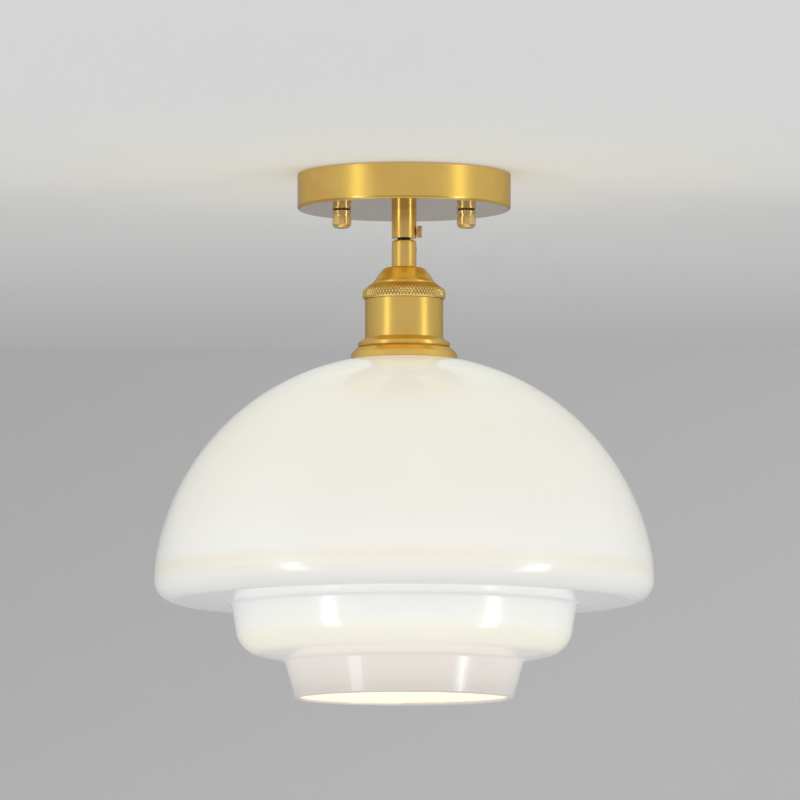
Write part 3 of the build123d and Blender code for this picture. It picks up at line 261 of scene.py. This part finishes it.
def plain(name, colour, roughness, grain=600.0, depth=0.02, coat=0.0, spread=0.12):
    """Moulded plastic, rubber or glaze: one colour with a small mottle and a fine surface grain."""
    n = Nodes(name)
    coordinates = n.place()[0]
    mottle = n.add("TexNoise", {"Vector": coordinates, "Scale": grain * 0.2, "Detail": 3.0})
    grains = n.add("TexNoise", {"Vector": coordinates, "Scale": grain, "Detail": 2.0})
    low = tuple(c * (1 - spread) for c in colour)
    tint = n.ramp(n.span(mottle.outputs["Fac"], *NOISE_RANGE), (0.0, low), (1.0, colour))
    rough = n.span(grains.outputs["Fac"], *NOISE_RANGE, roughness * 0.85, min(1.0, roughness * 1.15))
    bump = n.add("Bump", {"Strength": 0.3, "Distance": depth * MM, "Height": grains.outputs["Fac"]})
    shader = n.add("BsdfPrincipled", {"Base Color": tint, "Roughness": rough, "Coat Weight": coat,
                                      "Normal": bump.outputs["Normal"]})
    return n.finish(shader.outputs[0])


def striped(name, first, second, pitch):
    """Green and yellow insulation: bands along the wire's length."""
    n = Nodes(name)
    coordinates, x, y, z = n.place()
    along = n.maths("ADD", n.maths("ADD", x, y), z)
    phase = n.maths("FRACT", n.maths("DIVIDE", along, pitch))
    fine = n.add("TexNoise", {"Vector": coordinates, "Scale": 900.0})
    stripe = n.ramp(phase, (0.0, first), (0.48, first), (0.52, second), (1.0, second))
    rough = n.span(fine.outputs["Fac"], *NOISE_RANGE, 0.4, 0.55)
    shader = n.add("BsdfPrincipled", {"Base Color": stripe, "Roughness": rough})
    return n.finish(shader.outputs[0])


def opal(name):
    """Opal glass lit from inside: a glossy milk-white wall with a painted glow that stands in for the bulb's
    light through it and changes with its height.
    """
    n = Nodes(name)
    coordinates, *_, z = n.place()
    cloud = n.add("TexNoise", {"Vector": coordinates, "Scale": 11.0, "Detail": 3.0, "Roughness": 0.5})
    seeds = n.add("TexVoronoi", {"Vector": coordinates, "Scale": 95.0})
    milk = n.ramp(n.span(cloud.outputs["Fac"], *NOISE_RANGE), (0.0, MILK[0]), (1.0, MILK[1]))
    # painted glow: light and shade on the wall, set by height
    glow = n.ramp(n.span(z, *PAINTED_GLOW_HEIGHTS), *PAINTED_GLOW)
    waves = n.add("TexNoise", {"Vector": coordinates, "Scale": 16.0, "Detail": 1.0})
    bump = n.add("Bump", {"Strength": 0.06, "Distance": 0.8 * MM, "Height": waves.outputs["Fac"]})
    fine = n.add("Bump", {"Strength": 0.03, "Distance": MARK_DEPTH, "Height": seeds.outputs["Distance"],
                          "Normal": bump.outputs["Normal"]})
    shader = n.add("BsdfPrincipled", {"Base Color": milk, "Roughness": 0.32, "IOR": GLASS_IOR,
                                      "Coat Weight": 1.0, "Coat Roughness": 0.03, "Coat IOR": GLASS_IOR,
                                      "Emission Color": glow, "Emission Strength": 1.0,
                                      "Normal": fine.outputs["Normal"],
                                      "Coat Normal": fine.outputs["Normal"]})
    return n.finish(shader.outputs[0])


def diffuser(name, colour, strength):
    """The bulb's lit globe."""
    n = Nodes(name)
    coordinates = n.place()[0]
    cloud = n.add("TexNoise", {"Vector": coordinates, "Scale": 60.0})
    warm = tuple(c * f for c, f in zip(colour, (1.0, 0.93, 0.82)))
    tint = n.ramp(n.span(cloud.outputs["Fac"], *NOISE_RANGE), (0.0, warm), (1.0, colour))
    shader = n.add("BsdfPrincipled", {"Base Color": GLOBE_WHITE, "Roughness": 0.45,
                                      "Emission Color": tint, "Emission Strength": strength})
    return n.finish(shader.outputs[0])


# Finishes, by the frame's slots and by piece

satin_brass = brass("satin_brass", SATIN, 0.36, anisotropy=0.7, brushing=1.0)
knurled_brass = brass("knurled_brass", KNURLED, 0.24, brushing=0.2, tarnish=0.2, lacquer=(0.3, 0.3),
                      paint_groove_shade=True)
pale_brass = brass("pale_brass", PALE, 0.25, brushing=0.2, tarnish=0.2, lacquer=(0.3, 0.3))
polished_brass = brass("polished_brass", POLISHED, 0.17, brushing=0.06, tarnish=0.2, lacquer=(0.1, 0.1))
bare_brass = brass("bare_brass", BARE, 0.28, brushing=0.4, lacquer=(0.0, 0.0))
zinc = steel("zinc_steel", (0.56, 0.57, 0.58), 0.33)
tinned = steel("tinned_copper", (0.62, 0.61, 0.58), 0.30)
nickel = steel("nickel", (0.66, 0.65, 0.61), 0.22)
opal_glass = opal("opal_glass")
bulb_glow = diffuser("bulb_diffuser", BULB_LIGHT, BULB_STRENGTH)
white_plastic = plain("white_plastic", (0.80, 0.79, 0.76), 0.35)
white_board = plain("white_board", (0.82, 0.82, 0.80), 0.5)
black_plastic = plain("black_plastic", (0.02, 0.02, 0.022), 0.25)
block_plastic = plain("block_plastic", (0.76, 0.76, 0.74), 0.5, grain=500.0)
porcelain = plain("porcelain", (0.80, 0.79, 0.76), 0.12, grain=150.0, coat=0.6)
black_cord = plain("black_cord", (0.018, 0.018, 0.02), 0.5, grain=900.0)
dark_rubber = plain("dark_rubber", (0.05, 0.045, 0.04), 0.6)
pale_gasket = plain("pale_gasket", (0.70, 0.69, 0.65), 0.6)
brown_wire = plain("brown_insulation", (0.16, 0.06, 0.03), 0.45)
blue_wire = plain("blue_insulation", (0.05, 0.16, 0.42), 0.45)
earth_wire = striped("green_yellow_insulation", (0.10, 0.35, 0.05), (0.75, 0.62, 0.05), 5.0 * MM)

pale_pieces = ("left_cap_nut", "right_cap_nut", "upper_thumb_screw", "lower_thumb_screw")
own_finish = {piece: pale_brass for piece in pale_pieces}
finishes = {
    "satin_brass": satin_brass, "polished_brass": polished_brass, "bare_brass": bare_brass,
    "zinc_steel": zinc, "tinned_copper": tinned, "nickel": nickel, "opal_glass": opal_glass,
    "bulb_diffuser": bulb_glow, "white_plastic": white_plastic, "white_board": white_board,
    "black_plastic": black_plastic, "block_plastic": block_plastic, "porcelain": porcelain,
    "black_cord": black_cord, "dark_rubber": dark_rubber, "pale_gasket": pale_gasket,
    "brown_insulation": brown_wire, "blue_insulation": blue_wire, "green_yellow_insulation": earth_wire,
}
slot_of = {entry["node"]: entry["material_slot"] for entry in frame["record"]["subparts"]}
body_of = {node: body for body, members in frame["record"]["behaviour"]["bodies"].items() for node in members}

for name, node in nodes.items():
    node.data.materials.clear()
    node.data.materials.append(own_finish.get(name, finishes[slot_of[name]]))


# Knurled union ring

def rounded(corners, steps=8):
    """The closed line through corners (radius, height, rounding) in millimetres, roundings drawn as arcs."""
    line = []
    for index, corner in enumerate(corners):
        point = Vector(corner[:2])
        if len(corner) == 2:
            line.append(point)
            continue
        back = (Vector(corners[index - 1][:2]) - point).normalized()
        ahead = (Vector(corners[(index + 1) % len(corners)][:2]) - point).normalized()
        half = back.angle(ahead) / 2
        centre = point + (back + ahead).normalized() * corner[2] / sin(half)
        first = (point + back * corner[2] / tan(half) - centre).normalized()
        last = (point + ahead * corner[2] / tan(half) - centre).normalized()
        line += [centre + first.slerp(last, step / steps) * corner[2] for step in range(steps + 1)]
    return line


def divided(line, longest):
    """The same closed line with no run longer than a length."""
    points = []
    for here, there in zip(line, line[1:] + line[:1]):
        parts = max(1, int((there - here).length / longest))
        points += [here.lerp(there, part / parts) for part in range(parts)]
    return points


def lathe(name, line, segments, relief, depth, material):
    """A closed line in millimetres, turned about the lamp's axis. Each point is cut inwards by its share of
    depth, which relief gives from the share of a turn, the length along the line and the point. The mesh
    keeps that share as its groove attribute."""
    runs = [0.0]
    for here, there in zip(line, line[1:]):
        runs.append(runs[-1] + (there - here).length)
    vertices, cuts = [], []
    for segment in range(segments):
        angle = 2 * pi * segment / segments
        for point, run in zip(line, runs):
            cut = relief(segment / segments, run, point)
            radius = (point.x - depth * cut) * MM
            vertices.append((radius * cos(angle), radius * sin(angle), point.y * MM))
            cuts.append(cut)
    count = len(line)
    faces = []
    for segment in range(segments):
        here, there = segment * count, (segment + 1) % segments * count
        for index in range(count):
            after = (index + 1) % count
            faces.append((here + index, here + after, there + after, there + index))
    mesh = bpy.data.meshes.new(name)
    mesh.from_pydata(vertices, [], faces)
    mesh.attributes.new("groove", "FLOAT", "POINT").data.foreach_set("value", cuts)
    mesh.materials.append(material)
    mesh.polygons.foreach_set("use_smooth", [True] * len(mesh.polygons))
    mesh.set_sharp_from_angle(angle=radians(50))
    piece = bpy.data.objects.new(name, mesh)
    bpy.context.scene.collection.objects.link(piece)
    return piece


def groove(turns):
    """1 at whole turns and 0 at half turns, as the sides of a V groove rise and fall."""
    return abs(2 * (turns % 1.0) - 1)


RING_TOP, RING_LIP, RING_BOTTOM = -62.4, -64.7, -71.0    # LIP is the underside of the ring's inward lip
RING_RADIUS = 23.3
RING_BORE, RING_NECK = 19.6, 17.6        # inside the ring's wall and inside its lip
RING_CROWN = 18.6                        # where the flat top meets the shoulder
RING_SHOULDER, RING_SHOULDER_ROUND = 3.5, 3.2
RING_HEM, RING_HEM_RADIUS = 1.0, 22.5    # the slope at the foot of the face
RING_STEP = 0.16                         # longest run of the mesh along the section

KNURL_COUNT = 78
KNURL_SEGMENTS = 10                      # of the mesh for each cut round the ring
KNURL_RUN = 3.2                          # along the section, one turn of the pattern
KNURL_DEPTH = 0.42
KNURL_SHARPNESS = 4
KNURL_CROWN_FADE = 0.6
KNURL_FOOT_FADE = 0.5


def diamond_knurl(share, run, point):
    """Two crossing sets of grooves over the ring's shoulder and face."""
    across = share * KNURL_COUNT
    cut = max(groove(across + run / KNURL_RUN), groove(across - run / KNURL_RUN)) ** KNURL_SHARPNESS
    crown = (point.x - RING_CROWN) / KNURL_CROWN_FADE
    foot = (point.y - RING_BOTTOM - KNURL_FOOT_FADE) / KNURL_FOOT_FADE
    return cut * min(1.0, max(0.0, crown)) * min(1.0, max(0.0, foot))


ring_corners = [(RING_CROWN, RING_TOP, 0.3), (RING_RADIUS, RING_TOP - RING_SHOULDER, RING_SHOULDER_ROUND),
                (RING_RADIUS, RING_BOTTOM + RING_HEM, 0.5), (RING_HEM_RADIUS, RING_BOTTOM),
                (RING_BORE, RING_BOTTOM), (RING_BORE, RING_LIP), (RING_NECK, RING_LIP), (RING_NECK, RING_TOP)]
knurled_ring = lathe("knurled_union_ring", divided(rounded(ring_corners), RING_STEP),
                     KNURL_COUNT * KNURL_SEGMENTS, diamond_knurl, KNURL_DEPTH, knurled_brass)
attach(knurled_ring, body_of["union_ring"])
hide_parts("union_ring")


# Stage, lights and camera

def stage_plane(name, corners, material):
    mesh = bpy.data.meshes.new(name)
    mesh.from_pydata(corners, [], [(0, 1, 2, 3)])
    mesh.materials.append(material)
    plane = bpy.data.objects.new(name, mesh)
    bpy.context.scene.collection.objects.link(plane)
    return plane


def one_sided(name, colour, pale=(), foot=None):
    """A matt surface that is only there from the room's side. The stops in pale, of a place along Y in metres
    and a grey, are painted light that it adds where the camera or a gloss sees it, warmer near the lamp. foot
    is the lighter colour that an upright surface takes lower down, as painted light."""
    n = Nodes(name)
    coordinates, x, y, z = n.place()
    cloud = n.add("TexNoise", {"Vector": coordinates, "Scale": 1.3, "Detail": 2.0})
    low = tuple(0.97 * c for c in colour)
    tint = n.ramp(n.span(cloud.outputs["Fac"], *NOISE_RANGE), (0.0, low), (1.0, colour))
    # painted light: an upright surface turns lighter lower down and to the right
    if foot:
        slope = n.maths("ADD", z, n.maths("MULTIPLY", x, WALL_SLANT))
        tint = n.ramp(n.span(slope, *WALL_LIGHT_FADE), (0.0, colour), (1.0, foot))
    face = n.add("BsdfDiffuse", {"Color": tint}).outputs[0]
    if pale:
        near, far = pale[0][0], pale[-1][0]
        stops = [((place - near) / (far - near), (grey, grey, grey)) for place, grey in pale]
        lift = n.ramp(n.span(y, near, far), *stops)
        warm = n.ramp(n.span(n.from_axis(x, y), *HALO), (0.0, HALO_COLOUR), (1.0, (1.0, 1.0, 1.0)))
        path = n.add("LightPath")
        seen = n.maths("MAXIMUM", path.outputs["Is Camera Ray"], path.outputs["Is Glossy Ray"])
        glow = n.add("Emission", {"Color": n.mix(1.0, lift, warm, "MULTIPLY"), "Strength": seen})
        face = n.add("AddShader", {0: face, 1: glow.outputs[0]}).outputs[0]
    clear = n.add("BsdfTransparent")
    behind = n.add("NewGeometry").outputs["Backfacing"]
    mixed = n.add("MixShader", {0: behind, 1: face, 2: clear.outputs[0]})
    return n.finish(mixed.outputs[0])


ceiling = stage_plane("stage_ceiling", [(-REACH, -REACH, CEILING_LEVEL), (-REACH, WALL_PLACE, CEILING_LEVEL),
                                        (REACH, WALL_PLACE, CEILING_LEVEL), (REACH, -REACH, CEILING_LEVEL)],
                      one_sided("stage_ceiling_paint", CEILING_PAINT, CEILING_LIFT))
stage_plane("stage_wall", [(-REACH, WALL_PLACE, FLOOR_LEVEL), (REACH, WALL_PLACE, FLOOR_LEVEL),
                           (REACH, WALL_PLACE, CEILING_LEVEL), (-REACH, WALL_PLACE, CEILING_LEVEL)],
            one_sided("stage_wall_paint", WALL_PAINT, foot=WALL_FOOT_PAINTED_LIGHT))
stage_plane("stage_floor", [(-REACH, -REACH, FLOOR_LEVEL), (REACH, -REACH, FLOOR_LEVEL),
                            (REACH, REACH, FLOOR_LEVEL), (-REACH, REACH, FLOOR_LEVEL)],
            one_sided("stage_floor_paint", FLOOR_PAINT))
ceiling.visible_diffuse = False
ceiling.visible_shadow = False


def soft_box(name, turn, powers):
    """Two area lights, one just in front of the other, turned from the camera's side to face the shade."""
    turn, tilt = radians(turn), radians(BOX_TILT)
    away = Vector((sin(turn) * cos(tilt), -cos(turn) * cos(tilt), sin(tilt)))
    lights = (("face", BOX_FACE, powers[0], 0.0), ("middle", BOX_MIDDLE, powers[1], BOX_STEP))
    for part, size, power, nearer in lights:
        data = bpy.data.lights.new(name + "_" + part, "AREA")
        data.shape = "RECTANGLE"
        data.size, data.size_y = size
        data.energy = power
        data.color = BOX_COLOUR
        light = bpy.data.objects.new(name + "_" + part, data)
        bpy.context.scene.collection.objects.link(light)
        light.location = Vector(BOX_TARGET) + away * (BOX_DISTANCE - nearer)
        light.rotation_mode = "QUATERNION"
        light.rotation_quaternion = away.to_track_quat("Z", "Y")


soft_box("left_soft_box", LEFT_BOX_TURN, LEFT_BOX_POWERS)
soft_box("right_soft_box", RIGHT_BOX_TURN, RIGHT_BOX_POWERS)

world = bpy.data.worlds.new("room")
world.use_nodes = True
tree = world.node_tree
split = tree.nodes.new("ShaderNodeSeparateXYZ")
tree.links.new(tree.nodes.new("ShaderNodeTexCoord").outputs["Generated"], split.inputs[0])
turned = tree.nodes.new("ShaderNodeMapRange")
tree.links.new(split.outputs[1], turned.inputs["Value"])
turned.inputs["From Min"].default_value, turned.inputs["From Max"].default_value = ROOM_TURN
room = tree.nodes.new("ShaderNodeValToRGB")
tree.links.new(turned.outputs["Result"], room.inputs["Fac"])
room.color_ramp.interpolation = "EASE"
room.color_ramp.elements[0].color = (*FRONT_LIGHT, 1.0)
room.color_ramp.elements[1].color = (*BACK_LIGHT, 1.0)
tree.links.new(room.outputs["Color"], tree.nodes["Background"].inputs["Color"])
bpy.context.scene.world = world
bpy.context.scene.view_settings.view_transform = "Standard"

camera_data = bpy.data.cameras.new("camera")
camera_data.lens = LENS
camera_data.sensor_width = SENSOR
camera_data.clip_end = CLIP_END
camera = bpy.data.objects.new("camera", camera_data)
bpy.context.scene.collection.objects.link(camera)
camera.location = CAMERA_PLACE
camera.rotation_euler = (radians(90 + CAMERA_PITCH), 0, 0)
bpy.context.scene.camera = camera
